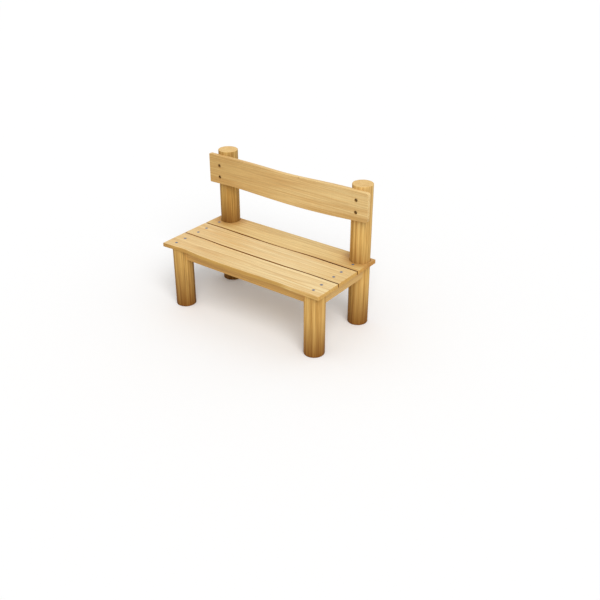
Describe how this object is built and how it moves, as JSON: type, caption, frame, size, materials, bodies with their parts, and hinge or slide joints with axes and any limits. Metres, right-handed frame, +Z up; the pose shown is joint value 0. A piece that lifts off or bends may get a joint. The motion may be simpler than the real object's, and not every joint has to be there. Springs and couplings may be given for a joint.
{
  "type": "garden bench",
  "caption": "Wooden garden bench with a slatted seat of thick boards, one wavy-edged backrest board and round log posts, put together with recessed bolts and countersunk screws.",
  "frame": {"origin": "on the ground, in the middle of the bench's length and depth", "axes": "+X along the seat towards the sitter's left, +Y towards the backrest, +Z up"},
  "size_m": [1.214, 0.632, 0.92],
  "materials": {
    "post_wood": "peeled round timber, impregnated, satin",
    "frame_wood": "sawn timber, impregnated, matt",
    "plank_wood": "planed timber, satin",
    "backrest_wood": "planed timber with natural edges, satin",
    "steel": "zinc-plated, satin"
  },
  "bodies": {
    "root": {"front_left_post": "post_wood", "front_right_post": "post_wood", "rear_left_post": "post_wood", "rear_right_post": "post_wood", "left_bearer": "frame_wood", "right_bearer": "frame_wood", "front_rail": "frame_wood", "rear_rail": "frame_wood", "front_plank": "plank_wood", "middle_plank": "plank_wood", "rear_plank": "plank_wood", "front_plank_screws": "steel", "middle_plank_screws": "steel", "rear_plank_screws": "steel", "backrest_board": "backrest_wood", "backrest_bolts": "steel"}
  },
  "joints": []
}
